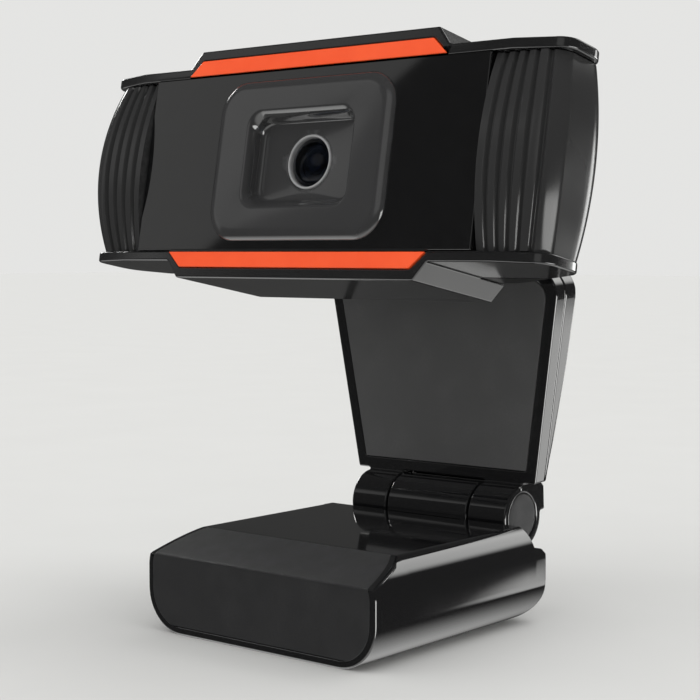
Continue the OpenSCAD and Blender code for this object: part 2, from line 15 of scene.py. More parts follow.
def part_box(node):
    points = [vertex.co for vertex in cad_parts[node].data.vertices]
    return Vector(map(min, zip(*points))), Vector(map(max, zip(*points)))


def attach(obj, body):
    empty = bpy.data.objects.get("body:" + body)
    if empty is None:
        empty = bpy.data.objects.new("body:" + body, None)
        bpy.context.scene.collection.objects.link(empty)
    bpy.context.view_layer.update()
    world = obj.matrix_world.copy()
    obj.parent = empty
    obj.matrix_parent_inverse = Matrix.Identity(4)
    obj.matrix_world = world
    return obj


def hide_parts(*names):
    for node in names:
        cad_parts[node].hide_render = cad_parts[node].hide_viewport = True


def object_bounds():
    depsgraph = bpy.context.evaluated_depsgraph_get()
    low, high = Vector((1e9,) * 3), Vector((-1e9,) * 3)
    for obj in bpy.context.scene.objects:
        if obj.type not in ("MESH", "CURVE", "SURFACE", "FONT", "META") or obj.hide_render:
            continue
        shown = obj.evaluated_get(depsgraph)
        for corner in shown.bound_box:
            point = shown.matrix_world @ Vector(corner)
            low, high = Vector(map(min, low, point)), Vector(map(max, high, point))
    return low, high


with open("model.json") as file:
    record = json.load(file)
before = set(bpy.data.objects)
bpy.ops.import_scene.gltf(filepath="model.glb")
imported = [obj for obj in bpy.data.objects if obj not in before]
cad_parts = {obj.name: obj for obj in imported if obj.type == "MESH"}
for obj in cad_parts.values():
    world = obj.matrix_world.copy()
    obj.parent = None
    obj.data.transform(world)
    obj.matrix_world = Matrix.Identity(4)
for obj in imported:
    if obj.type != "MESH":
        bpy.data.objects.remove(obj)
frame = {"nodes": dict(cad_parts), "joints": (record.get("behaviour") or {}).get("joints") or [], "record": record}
cad_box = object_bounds()

MM = 0.001
JOINTS = {j["name"]: j for j in frame["joints"]}
MOUNTS = {m["name"]: m for m in frame["record"]["mounts"]}


# ---------------------------------------------------------------- local frames

def local_frame(origin, turn):
    """Millimetres in a frame turned about X by turn radians, as a matrix to the row frame."""
    return Matrix.Translation(origin) @ Matrix.Rotation(turn, 4, "X") @ Matrix.Scale(MM, 4)


def box_mm(node):
    """Size of a CAD node's box, in millimetres."""
    low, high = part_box(node)
    return (high - low) / MM


swivel_axis = JOINTS["pan_swivel"]["axis"]
head_tilt = math.atan2(swivel_axis[1], swivel_axis[2])
pad_normal = MOUNTS["neck_pad_face"]["axis"]
neck_lean = math.atan2(-pad_normal[2], -pad_normal[1])

PANEL_T = 1.5
panel_low, panel_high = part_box("face_panel")
head_back = Vector((0, math.cos(head_tilt), -math.sin(head_tilt)))
face_centre = (panel_low + panel_high) / 2 - head_back * PANEL_T / 2 * MM
HEAD = local_frame(face_centre, -head_tilt)
NECK = local_frame(JOINTS["fold_hinge"]["pos_m"], neck_lean)
BASE = local_frame((0, cad_box[0].y, 0), 0)

# Driving sizes of the head, in its own frame
panel_half_w = (panel_high.x - panel_low.x) / 2 / MM
rim_z = ((panel_high.z - panel_low.z) / MM - PANEL_T * math.sin(head_tilt)) / 2 / math.cos(head_tilt)
ring_r = box_mm("lens_ring").x / 2
end_inner_x = panel_half_w + 0.25
end_side_x = cad_box[1].x / MM
end_back = 11.95


# ---------------------------------------------------------------- mesh helpers

def add_piece(name, bm, place, body, slot, material, *nodes):
    """A mesh built in a local frame becomes a piece that stands for the given CAD nodes."""
    bmesh.ops.recalc_face_normals(bm, faces=bm.faces)
    mesh = bpy.data.meshes.new(name)
    bm.to_mesh(mesh)
    bm.free()
    mesh.transform(place)
    mesh.shade_smooth()
    piece = bpy.data.objects.new(name, mesh)
    bpy.context.scene.collection.objects.link(piece)
    mesh.materials.append(material)
    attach(piece, body)
    if nodes:
        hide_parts(*nodes)
    return piece


def soften(piece, width, segments=3, angle=28, marked=False):
    """Rounds the marked edges, or every edge sharper than angle degrees; width is in millimetres."""
    bevel = piece.modifiers.new("rounded_edges", "BEVEL")
    bevel.width = width * MM
    bevel.segments = segments
    bevel.limit_method = "WEIGHT" if marked else "ANGLE"
    bevel.angle_limit = math.radians(angle)
    bevel.miter_outer = "MITER_ARC"
    bevel.use_clamp_overlap = False
    bevel.harden_normals = True
    return piece


def mark_round(bm, chosen):
    """Marks the edges that a later soften(..., marked=True) rounds."""
    layer = bm.edges.layers.float.new("bevel_weight_edge")
    for edge in bm.edges:
        if len(edge.link_faces) == 2 and chosen(edge):
            edge[layer] = 1.0


def moulding(node, name, body, slot, material, edge, angle=28):
    """A CAD node's own shape as a moulded piece, with its flats cleaned and its edges rounded."""
    source = frame["nodes"][node].data
    bm = bmesh.new()
    points = [bm.verts.new(v.co) for v in source.vertices]
    for polygon in source.polygons:
        bm.faces.new([points[i] for i in polygon.vertices])
    bmesh.ops.remove_doubles(bm, verts=bm.verts, dist=0.002 * MM)
    bmesh.ops.dissolve_limit(
        bm, angle_limit=math.radians(0.6), verts=bm.verts, edges=bm.edges, use_dissolve_boundaries=False)
    piece = add_piece(name, bm, Matrix.Identity(4), body, slot, material, node)
    return soften(piece, edge, 3, angle)


def arc(cx, cy, r, start, end, steps):
    """Points of an arc, with its angles in degrees."""
    turns = [math.radians(start + (end - start) * i / steps) for i in range(steps + 1)]
    return [(cx + r * math.cos(a), cy + r * math.sin(a)) for a in turns]


def rounded_rectangle(half_w, half_h, r, steps=10):
    """Closed outline from the middle of the right side, with as many points whatever its size."""
    points = []
    for cx, cy, start in (
        (half_w - r, half_h - r, 0), (r - half_w, half_h - r, 90),
        (r - half_w, r - half_h, 180), (half_w - r, r - half_h, 270),
    ):
        points += arc(cx, cy, r, start, start + 90, steps)
    return points


def loft(rings, closed=False, caps=True):
    """Joins rings of points, all of one length, into a skin, and closes its ends."""
    bm = bmesh.new()
    rows = [[bm.verts.new(p) for p in ring] for ring in rings]
    pairs = list(zip(rows, rows[1:])) + ([(rows[-1], rows[0])] if closed else [])
    for low, high in pairs:
        for i in range(len(low)):
            k = (i + 1) % len(low)
            bm.faces.new((low[i], low[k], high[k], high[i]))
    if caps and not closed:
        bm.faces.new(rows[0])
        bm.faces.new(rows[-1])
    return bm


def prism(outline, start, end, axis):
    """A straight solid from a flat outline: along Y the outline is (x, z), along X it is (y, z)."""
    if axis == "Y":
        return loft([[(x, t, z) for x, z in outline] for t in (start, end)])
    return loft([[(t, y, z) for y, z in outline] for t in (start, end)])


def lathe(profile, axis, centre=(0, 0, 0), steps=96):
    """Turns a closed (radius, position) profile about a line through centre, along X or Y."""
    rings = []
    for i in range(steps):
        a = 2 * math.pi * i / steps
        c, s = math.cos(a), math.sin(a)
        if axis == "X":
            ring = [(t, r * c, r * s) for r, t in profile]
        else:
            ring = [(r * c, t, r * s) for r, t in profile]
        rings.append([tuple(Vector(p) + Vector(centre)) for p in ring])
    return loft(rings, closed=True, caps=False)


def lathe_solid(profile, axis, centre=(0, 0, 0), steps=96):
    """The same for a profile whose first and last points lie on the axis."""
    bm = lathe(profile, axis, centre, steps)
    bmesh.ops.remove_doubles(bm, verts=bm.verts, dist=1e-5)
    thin = [f for f in bm.faces if f.calc_area() < 1e-9]
    bmesh.ops.delete(bm, geom=thin, context="FACES_ONLY")
    return bm


# ---------------------------------------------------------------- material helpers

RANGE_SOCKETS = ("From Min", "From Max", "To Min", "To Max")


class Finish:
    """A node material under construction: a Principled shader and the textures that feed it."""

    def __init__(self, name, colour, roughness, metallic=0.0, **sockets):
        self.material = bpy.data.materials.new(name)
        self.material.use_nodes = True
        self.tree = self.material.node_tree
        self.shader = self.tree.nodes["Principled BSDF"]
        self.shader.inputs["Base Color"].default_value = (*colour, 1)
        self.shader.inputs["Roughness"].default_value = roughness
        self.shader.inputs["Metallic"].default_value = metallic
        for label, value in sockets.items():
            self.shader.inputs[label.replace("_", " ")].default_value = value
        self.place = self.tree.nodes.new("ShaderNodeTexCoord").outputs["Object"]
        self.normal = None

    def link(self, output, socket):
        self.tree.links.new(output, socket)

    def noise(self, size, detail=3.0, stretch=(1, 1, 1), roughness=0.55):
        """Noise whose features are about size millimetres across."""
        mapping = self.tree.nodes.new("ShaderNodeMapping")
        mapping.inputs["Scale"].default_value = stretch
        self.link(self.place, mapping.inputs["Vector"])
        node = self.tree.nodes.new("ShaderNodeTexNoise")
        node.inputs["Scale"].default_value = 1 / (size * MM)
        node.inputs["Detail"].default_value = detail
        node.inputs["Roughness"].default_value = roughness
        self.link(mapping.outputs["Vector"], node.inputs["Vector"])
        return node.outputs["Fac"]

    def cells(self, size):
        """Voronoi cells about size millimetres across, as a distance."""
        node = self.tree.nodes.new("ShaderNodeTexVoronoi")
        node.inputs["Scale"].default_value = 1 / (size * MM)
        self.link(self.place, node.inputs["Vector"])
        return node.outputs["Distance"]

    def edges(self, low=0.515, high=0.60):
        """A mask that is 1 along worn convex edges."""
        geometry = self.tree.nodes.new("ShaderNodeNewGeometry")
        return self.span(geometry.outputs["Pointiness"], low, high, 0, 1)

    def span(self, value, low, high, to_low, to_high):
        """Maps a value between two limits to another range."""
        node = self.tree.nodes.new("ShaderNodeMapRange")
        for label, number in zip(RANGE_SOCKETS, (low, high, to_low, to_high)):
            node.inputs[label].default_value = number
        self.link(value, node.inputs["Value"])
        return node.outputs["Result"]

    def math(self, how, a, b):
        node = self.tree.nodes.new("ShaderNodeMath")
        node.operation = how
        for socket, value in zip(node.inputs, (a, b)):
            if isinstance(value, (int, float)):
                socket.default_value = value
            else:
                self.link(value, socket)
        return node.outputs["Value"]

    def colour(self, mask, low, high):
        """Base colour between two colours, by a mask."""
        node = self.tree.nodes.new("ShaderNodeMix")
        node.data_type = "RGBA"
        node.inputs["A"].default_value = (*low, 1)
        node.inputs["B"].default_value = (*high, 1)
        self.link(mask, node.inputs["Factor"])
        self.link(node.outputs["Result"], self.shader.inputs["Base Color"])
        return self

    def roughness(self, value, low, high, to_low, to_high):
        self.link(self.span(value, low, high, to_low, to_high), self.shader.inputs["Roughness"])
        return self

    def bump(self, height, depth, strength=1.0):
        """Relief of about depth millimetres; a second call adds to the first."""
        node = self.tree.nodes.new("ShaderNodeBump")
        node.inputs["Distance"].default_value = depth * MM
        node.inputs["Strength"].default_value = strength
        self.link(height, node.inputs["Height"])
        if self.normal is not None:
            self.link(self.normal, node.inputs["Normal"])
        self.normal = node.outputs["Normal"]
        self.link(self.normal, self.shader.inputs["Normal"])
        return self


def gloss_plastic(name, base, worn, gloss=0.07, coat=1.8):
    """Polished ABS: faint moulding waves, cloudy gloss, hair scratches and paler worn edges."""
    f = Finish(name, base, gloss, Coat_Weight=1.0, Coat_Roughness=gloss * 0.6, Coat_IOR=coat)
    haze = f.noise(7, 4)
    hairs = f.noise(0.5, 2, (1, 12, 1))
    wear = f.math("MULTIPLY", f.edges(), f.span(f.noise(1.6, 5), 0.42, 0.62, 0.15, 1))
    f.colour(wear, base, worn)
    dull = f.math("ADD", f.math("MULTIPLY", haze, 0.7), f.math("MULTIPLY", hairs, 0.3))
    f.roughness(dull, 0.35, 0.68, gloss, gloss * 1.7)
    f.bump(f.noise(3.5, 1), 0.003, 0.3)
    return f.bump(hairs, 0.0006, 0.5).material


def satin_plastic(name, base, worn, gloss=0.3, grain=0.16, depth=0.012):
    """Fine textured plastic: an even grain, a soft sheen and rubbed edges."""
    f = Finish(name, base, gloss, Specular_IOR_Level=0.5)
    wear = f.math("MULTIPLY", f.edges(), f.span(f.noise(1.2, 5), 0.4, 0.6, 0.2, 1))
    f.colour(wear, base, worn)
    f.roughness(f.noise(5, 4), 0.35, 0.65, gloss * 0.92, gloss * 1.1)
    f.bump(f.noise(6, 1), 0.004, 0.3)
    return f.bump(f.noise(grain, 2), depth, 0.6).material


def soft_touch(name, base, dusty, roughness=0.62):
    """Matt rubber-like pad: fine grain, faint dust in patches and a soft sheen."""
    f = Finish(name, base, roughness, Specular_IOR_Level=0.35, Sheen_Weight=0.08, Sheen_Roughness=0.4)
    patches = f.span(f.noise(6, 6), 0.45, 0.75, 0, 1)
    specks = f.span(f.noise(0.35, 3), 0.4, 0.7, 0.3, 1)
    f.colour(f.math("MULTIPLY", patches, specks), base, dusty)
    f.roughness(f.noise(3, 4), 0.3, 0.7, roughness * 0.88, roughness * 1.15)
    f.bump(f.noise(1.4, 3), 0.006, 0.5)
    return f.bump(f.cells(0.14), 0.012, 0.55).material


def orange_plastic():
    """The accent strips: satin orange with a slight cast and a fine grain."""
    base, deep = (1.0, 0.104, 0.020), (0.96, 0.088, 0.014)
    f = Finish("accent_orange", base, 0.34, Specular_IOR_Level=0.4, Coat_Weight=0.15, Coat_Roughness=0.3)
    f.colour(f.span(f.noise(5, 4), 0.35, 0.7, 0, 1), base, deep)
    f.roughness(f.noise(1.5, 3), 0.3, 0.7, 0.30, 0.42)
    return f.bump(f.noise(0.2, 2), 0.006, 0.5).material


def metal(name, base, dark, roughness=0.28, across=(1, 1, 1), size=0.5):
    """Bare metal with turning or brushing marks and dull spots."""
    f = Finish(name, base, roughness, 1.0)
    marks = f.noise(size, 3, across)
    f.colour(f.span(f.noise(1.1, 4), 0.45, 0.8, 0, 1), base, dark)
    f.roughness(marks, 0.3, 0.7, roughness * 0.75, roughness * 1.3)
    return f.bump(marks, 0.003, 0.5).material


def lens_coating():
    """Front glass of the lens: clear, with a faint blue coating."""
    f = Finish("lens_glass", (0.10, 0.13, 0.20), 0.02, Transmission_Weight=1.0, IOR=1.33)
    f.roughness(f.noise(1.5, 3), 0.3, 0.7, 0.008, 0.035)
    return f.bump(f.noise(1.1, 2), 0.0006, 0.3).material


def inner_lens():
    """Second element, deep in the lens: near black with a blue-tinted coating."""
    black, violet = (0.002, 0.004, 0.010), (0.005, 0.005, 0.014)
    f = Finish("inner_lens", black, 0.05, Coat_Weight=1.0, Coat_Tint=(0.6, 0.75, 1.0, 1), Coat_IOR=1.7)
    f.colour(f.span(f.noise(0.9, 2), 0.35, 0.65, 0, 1), black, violet)
    f.roughness(f.noise(0.8, 3), 0.3, 0.7, 0.03, 0.08)
    return f.bump(f.noise(0.7, 2), 0.0008, 0.3).material


def circuit_board():
    """Green solder mask over a faint relief of copper tracks."""
    f = Finish("board_green", (0.012, 0.14, 0.055), 0.32)
    tracks = f.span(f.cells(1.7), 0.32, 0.36, 0, 1)
    f.colour(tracks, (0.010, 0.12, 0.045), (0.03, 0.22, 0.09))
    f.roughness(f.noise(2, 3), 0.3, 0.7, 0.25, 0.42)
    return f.bump(tracks, 0.02, 0.6).material


def plain_part(name, base, other, roughness, size=0.5, depth=0.008, **sockets):
    """Small inner part: mottled colour, uneven gloss and a little relief."""
    f = Finish(name, base, roughness, **sockets)
    f.colour(f.span(f.noise(size * 4, 4), 0.4, 0.7, 0, 1), base, other)
    f.roughness(f.noise(size * 2, 3), 0.3, 0.7, roughness * 0.8, roughness * 1.25)
    return f.bump(f.noise(size, 2), depth, 0.5).material


gloss_black = gloss_plastic("gloss_black", (0.0055, 0.0055, 0.006), (0.012, 0.012, 0.0125), 0.06, 1.65)
rim_black = gloss_plastic("rim_black", (0.0085, 0.0085, 0.009), (0.015, 0.015, 0.0155), 0.16, 1.6)
panel_black = gloss_plastic("panel_black", (0.0025, 0.0025, 0.0028), (0.006, 0.006, 0.0063), 0.035, 1.7)
bezel_grey = gloss_plastic("bezel_grey", (0.035, 0.035, 0.036), (0.06, 0.06, 0.062), 0.1, 1.6)
cap_grey = soft_touch("cap_grey", (0.030, 0.030, 0.031), (0.05, 0.05, 0.051), 0.6)
satin_black = satin_plastic("satin_black", (0.009, 0.009, 0.0095), (0.017, 0.017, 0.0175))
rib_black = satin_plastic("rib_black", (0.030, 0.030, 0.0305), (0.045, 0.045, 0.046), 0.17, 0.3, 0.003)
# pad_grey and shaded_front_pad_grey are one soft-touch pad in two shades. The neck pad is painted lighter, which
# is painted light, and the base's front pad is painted darker, which is painted shade.
pad_grey = soft_touch("pad_grey", (0.076, 0.076, 0.077), (0.095, 0.095, 0.096))
shaded_front_pad_grey = soft_touch("shaded_front_pad_grey", (0.020, 0.020, 0.021), (0.028, 0.028, 0.029), 0.5)
foot_rubber = soft_touch("foot_rubber", (0.014, 0.014, 0.014), (0.04, 0.04, 0.038), 0.75)
accent_orange = orange_plastic()
steel = metal("steel", (0.56, 0.56, 0.58), (0.34, 0.34, 0.36), 0.3)
sleeve_brass = metal("sleeve_brass", (0.72, 0.54, 0.26), (0.45, 0.32, 0.14), 0.32, (1, 6, 6))
ring_metal = satin_plastic("ring_metal", (0.30, 0.30, 0.305), (0.45, 0.45, 0.455), 0.35, 0.2, 0.003)
mic_metal = metal("mic_metal", (0.6, 0.6, 0.61), (0.42, 0.42, 0.43), 0.36)
lens_clear = lens_coating()
lens_deep = inner_lens()
board_green = circuit_board()
chip_dark = plain_part("chip_dark", (0.03, 0.034, 0.034), (0.06, 0.065, 0.06), 0.4)
filter_glass = plain_part("filter_glass", (0.5, 0.2, 0.26), (0.42, 0.2, 0.34), 0.06, 0.8, 0.001,
                          Transmission_Weight=0.7)
connector_white = plain_part("connector_white", (0.78, 0.75, 0.66), (0.7, 0.66, 0.56), 0.42)


# ---------------------------------------------------------------- head

def curve_depth(radius, z):
    """How far a cylinder's surface of that radius falls away at height z."""
    return radius - math.sqrt(radius * radius - z * z)


def ease(t):
    """A smooth step from 0 to 1."""
    t = min(1.0, max(0.0, t))
    return t * t * (3 - 2 * t)


def rib_relief(s):
    """Depth of the upright grooves at a distance s along the end's outline, in millimetres."""
    grooves, depth, wall, floor_half = (1.45, 3.25, 5.05, 6.95, 9.05), 0.52, 0.36, 0.10
    for at in grooves:
        climb = (abs(s - at) - floor_half) / wall
        if climb < 1:
            return depth * (1 - max(0.0, climb))
    return 0.0


def end_outline():
    """Plan of a ribbed end at mid height, as (x, depth) points, with its ribs."""
    bulge, corner_r, step = -1.1, 3.0, 0.085
    heel_r, heel_turn, heel_d, back_x = 4.6, 58, 7.4, 34.4
    path = [(end_inner_x, bulge)]
    run = 0.0
    front = end_side_x - corner_r - end_inner_x
    quarter = corner_r * math.pi / 2
    while run < front + quarter:
        run += step
        if run <= front:
            x, y, nx, ny = end_inner_x + run, bulge, 0.0, -1.0
        else:
            a = min(math.pi / 2, (run - front) / corner_r)
            nx, ny = math.sin(a), -math.cos(a)
            x, y = end_side_x - corner_r + corner_r * nx, bulge + corner_r + corner_r * ny
        groove = rib_relief(run)
        path.append((x - nx * groove, y - ny * groove))
    corner_d = bulge + corner_r
    for i in range(1, 7):
        path.append((end_side_x, corner_d + (heel_d - corner_d) * i / 6))
    path += arc(end_side_x - heel_r, heel_d, heel_r, 0, heel_turn, 12)[1:]
    return path + [(back_x, end_back), (end_inner_x, end_back)]


def ribbed_end(side):
    """One end grip, bulging both forwards and sideways, with upright ribs; side is 1 for +X."""
    front_r, side_r, levels, gap = 37.1, 50.3, 44, 0.03
    plan = end_outline()
    rings = []
    for i in range(levels + 1):
        z = (rim_z - gap) * (2 * i / levels - 1)
        ring = []
        for x, y in plan:
            forward = 1 - ease(y / end_back)
            outward = ease((x - end_inner_x) / (end_side_x - end_inner_x))
            curved_x = side * (x - curve_depth(side_r, z) * outward)
            ring.append((curved_x, y + curve_depth(front_r, z) * forward, z))
        rings.append(ring)
    name = "right_ribbed_end" if side > 0 else "left_ribbed_end"
    piece = add_piece(name + "_grip", loft(rings), HEAD, "head", "satin_black", rib_black, name)
    sharp_by_angle(piece, 40)


def sharp_by_angle(piece, degrees):
    """Smooth shading that breaks at edges sharper than the angle."""
    piece.data.set_sharp_from_angle(angle=math.radians(degrees))


def flat_faces(piece):
    """Large flat faces keep their own normal, and the narrow bands between them shade round."""
    even = piece.modifiers.new("flat_faces", "WEIGHTED_NORMAL")
    even.weight = 90
    even.keep_sharp = True


def accent_strip(side):
    """Orange trapezoid set into the front of a raised section; side is 1 for the top."""
    z_in, z_out, half_in, half_out = 12.5, 14.6, 22.4, 20.1
    low, high = side * z_in, side * z_out
    outline = [(-half_in, low), (half_in, low), (half_out, high), (-half_out, high)]
    name = "top_accent_strip" if side > 0 else "bottom_accent_strip"
    bm = prism(outline, -0.25, 0.6, "Y")
    piece = add_piece(name + "_inlay", bm, HEAD, "head", "accent_orange", accent_orange, name)
    soften(piece, 0.12, 3)


def bezel():
    """Rounded frame round the lens: bevelled rim, flat face and an opening with a shallow sloping floor."""
    hole = ring_r + 0.06
    sections = [  # half width, half height, corner radius, depth
        (13.3, 9.3, 3.0, 3.55), (13.3, 9.3, 3.0, 0.02),
        # rim
        (15.2, 11.0, 4.5, 0.0), (15.2, 11.0, 4.5, -0.12), (15.12, 10.92, 4.4, -0.28),
        (14.9, 10.7, 4.2, -0.5), (14.5, 10.3, 3.9, -0.72), (14.2, 10.0, 3.65, -0.80),
        (13.95, 9.75, 3.4, -0.84), (13.7, 9.5, 3.25, -0.86),
        # flat face and the rounded lip of the opening
        (13.6, 9.4, 3.2, -0.86), (9.5, 6.85, 2.4, -0.86), (9.35, 6.7, 2.3, -0.82),
        (9.15, 6.5, 2.2, -0.68), (8.95, 6.25, 2.1, -0.42), (8.78, 6.0, 2.05, -0.05),
        # wall of the opening, turning into its floor
        (8.65, 5.8, 2.0, 0.4), (8.55, 5.62, 2.0, 0.9), (8.45, 5.5, 1.95, 1.3),
        (8.25, 5.35, 1.95, 1.55), (8.0, 5.2, 2.0, 1.64), (7.7, 5.05, 2.0, 1.67),
    ]
    inner_r, inner_d, floor_steps = hole + 0.3, 1.86, 8
    floor_from, floor_to = sections[-1], (inner_r, inner_r, inner_r, inner_d)
    for i in range(1, floor_steps + 1):
        sections.append(tuple(a + (b - a) * i / floor_steps for a, b in zip(floor_from, floor_to)))
    rings = [[(x, d, z) for x, z in rounded_rectangle(w, h, r)] for w, h, r, d in sections]
    around = rounded_rectangle(1, 1, 1)
    for r, d in ((hole + 0.08, 1.9), (hole, 1.98), (hole, 3.55)):
        rings.append([(r * x, d, r * z) for x, z in around])
    bm = loft(rings, closed=True)
    piece = add_piece("lens_bezel_moulding", bm, HEAD, "head", "bezel_grey", bezel_grey, "lens_bezel")
    sharp_by_angle(piece, 50)
    flat_faces(piece)


def lens():
    """Metal ring, domed front glass, stepped black cup behind it and the coated inner element."""
    ring = [(ring_r, 3.4), (ring_r, 2.0), (ring_r - 0.05, 1.86), (ring_r - 0.16, 1.78),
            (ring_r - 0.27, 1.8), (ring_r - 0.36, 1.9), (ring_r - 0.4, 2.05), (ring_r - 0.42, 3.4)]
    bm = lathe(ring, "Y")
    piece = add_piece("lens_ring_turned", bm, HEAD, "head", "ring_metal", ring_metal, "lens_ring")
    sharp_by_angle(piece, 50)

    glass_r, dome_r, front, thick = ring_r - 0.46, 4.4, 0.95, 0.42
    outside = [(glass_r * i / 18, front + curve_depth(dome_r, glass_r * i / 18)) for i in range(19)]
    inside = [(r, d + thick + 0.05 * (glass_r - r)) for r, d in reversed(outside)]
    bm = lathe_solid(outside + inside, "Y")
    piece = add_piece("lens_front_glass", bm, HEAD, "head", "lens_glass", lens_clear, "lens_glass")
    sharp_by_angle(piece, 50)

    cup = [(3.2, 3.2), (3.2, 3.58), (1.0, 3.58), (1.0, 3.5), (1.5, 3.5), (1.55, 3.3),
           (2.05, 3.3), (2.1, 3.12), (2.65, 3.12), (2.7, 2.95), (3.2, 2.95)]
    piece = add_piece("lens_baffle", lathe(cup, "Y"), HEAD, "head", "satin_black", satin_black)
    sharp_by_angle(piece, 30)

    element_r, element_front, element_back, element_dome = 1.48, 2.2, 3.49, 1.6
    radii = [element_r * i / 12 for i in range(13)]
    face = [(r, element_front + curve_depth(element_dome, r)) for r in radii]
    bm = lathe_solid(face + [(element_r, element_back), (0.0, element_back)], "Y")
    piece = add_piece("lens_inner_element", bm, HEAD, "head", "lens_glass", lens_deep)
    sharp_by_angle(piece, 40)


def gland():
    """Rubber cable gland in the rear cover, with a collar and grip rings."""
    low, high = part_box("cable_gland")
    middle_z = (HEAD.inverted() @ ((low + high) / 2)).z
    start, end, bore, sleeve, collar = 20.1, 30.5, 1.8, 2.6, 3.5
    profile = [(bore, start), (bore, end - 0.15), (bore + 0.15, end), (sleeve - 0.25, end),
               (sleeve - 0.05, end - 0.2)]
    for i in range(4):
        d = end - 0.35 - i * 0.14
        profile += [(sleeve, d), (sleeve - (0.07 if i % 2 else 0), d - 0.07)]
    profile += [(sleeve, end - 0.95), (collar - 0.15, end - 0.95), (collar, end - 1.1),
                (collar, end - 1.75), (collar - 0.15, end - 1.9), (sleeve, end - 1.9),
                (sleeve, start + 1), (collar, start + 1), (collar, start)]
    bm = lathe(profile, "Y", (0, 0, middle_z), 64)
    piece = add_piece("cable_gland_rubber", bm, HEAD, "head", "foot_rubber", foot_rubber, "cable_gland")
    sharp_by_angle(piece, 40)


def head():
    """Everything that rides the head."""
    moulding("head_front_shell", "front_shell_moulding", "head", "gloss_black", rim_black, 0.28)
    moulding("head_rear_cover", "rear_cover_moulding", "head", "satin_black", satin_black, 0.25)
    moulding("face_panel", "face_panel_plate", "head", "panel_black", panel_black, 0.15)
    for side in (1, -1):
        ribbed_end(side)
        accent_strip(side)
    bezel()
    lens()
    gland()


# ---------------------------------------------------------------- neck

def hinge_cap(name, radius, face, centre, node):
    """End disc of a hinge, a little domed and with a rounded edge, one on each side."""
    thickness, dome, edge = 1.2, 0.12, 0.16
    profile = [(0, face - thickness), (radius, face - thickness), (radius, face - dome - edge),
               (radius - 0.05, face - dome - 0.05), (radius - edge, face - dome)]
    for i in range(1, 9):
        r = (radius - edge) * (1 - i / 8)
        profile.append((r, face - dome * (r / radius) ** 2))
    bm = bmesh.new()
    for side in (1, -1):
        part = lathe_solid(profile, "X", centre, 80)
        if side < 0:
            bmesh.ops.scale(part, vec=(-1, 1, 1), verts=part.verts)
        spare = bpy.data.meshes.new("spare")
        part.to_mesh(spare)
        part.free()
        bm.from_mesh(spare)
        bpy.data.meshes.remove(spare)
    piece = add_piece(name, bm, NECK, "neck", "gloss_black", cap_grey, node)
    sharp_by_angle(piece, 45)


def neck():
    """The neck's two shells and its pad, and the end discs of both hinges."""
    moulding("neck_front_shell", "neck_front_moulding", "neck", "gloss_black", gloss_black, 0.3)
    moulding("neck_back_cover", "neck_back_moulding", "neck", "gloss_black", gloss_black, 0.3)
    # The neck pad takes the lighter copy of the pad material: painted light.
    moulding("neck_pad", "neck_pad_inlay", "neck", "pad_grey", pad_grey, 0.14)
    fold_face = box_mm("fold_end_caps").x / 2
    hinge_cap("fold_cap_discs", 3.4, fold_face, (0, 0, 0), "fold_end_caps")
    tilt_face = box_mm("tilt_end_caps").x / 2
    tilt_at = NECK.inverted() @ Vector(JOINTS["tilt_hinge"]["pos_m"])
    hinge_cap("tilt_cap_discs", 3.0, tilt_face, (0, tilt_at.y, tilt_at.z), "tilt_end_caps")


# ---------------------------------------------------------------- base

# Driving sizes of the base, in its own frame; Y is the depth from its front face
pad_low, pad_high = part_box("base_front_pad")
border = pad_low.z / MM
base_half = pad_high.x / MM + border
base_h = pad_high.z / MM
slope_d = (pad_high.y - pad_low.y) / MM
front_h = 10.65
low_r, top_r, top_half = 6.0, 5.0, 17.1
shoulder = base_h - math.sqrt(top_r ** 2 - (top_half - base_half + top_r) ** 2)
fold_at = BASE.inverted() @ Vector(JOINTS["fold_hinge"]["pos_m"])


def side_width(z):
    """Half width of the base at height z: lower corner, flat side, and upper corner cut by the top."""
    if z < low_r:
        return base_half - low_r + math.sqrt(max(0.0, low_r ** 2 - (low_r - z) ** 2))
    if z > shoulder:
        return base_half - top_r + math.sqrt(max(0.0, top_r ** 2 - (z - shoulder) ** 2))
    return base_half


def slope_height(y):
    """Height of the base's top at depth y, sloping up from its front."""
    return front_h + (base_h - front_h) * min(1.0, y / slope_d)


def base_ring(y, low, high):
    """Front view of the base at depth y, cut off level at heights low and high."""
    start = math.acos(1 - low / low_r)
    side = [(base_half - low_r + low_r * math.sin(a), low_r - low_r * math.cos(a))
            for a in (start + (math.pi / 2 - start) * i / 14 for i in range(15))]
    side.append((base_half, min(shoulder, high)))
    end = math.asin(min(1.0, max(0.0, (high - shoulder) / top_r)))
    side += [(base_half - top_r + top_r * math.cos(a), shoulder + top_r * math.sin(a) if end else high)
             for a in (end * i / 14 for i in range(1, 15))]
    return [(x, y, z) for x, z in side] + [(-x, y, z) for x, z in reversed(side)]


def clean_skin(bm):
    """Merges points that nearly coincide and drops the faces that this empties."""
    bmesh.ops.remove_doubles(bm, verts=bm.verts, dist=0.004)
    bmesh.ops.dissolve_degenerate(bm, edges=bm.edges, dist=0.003)


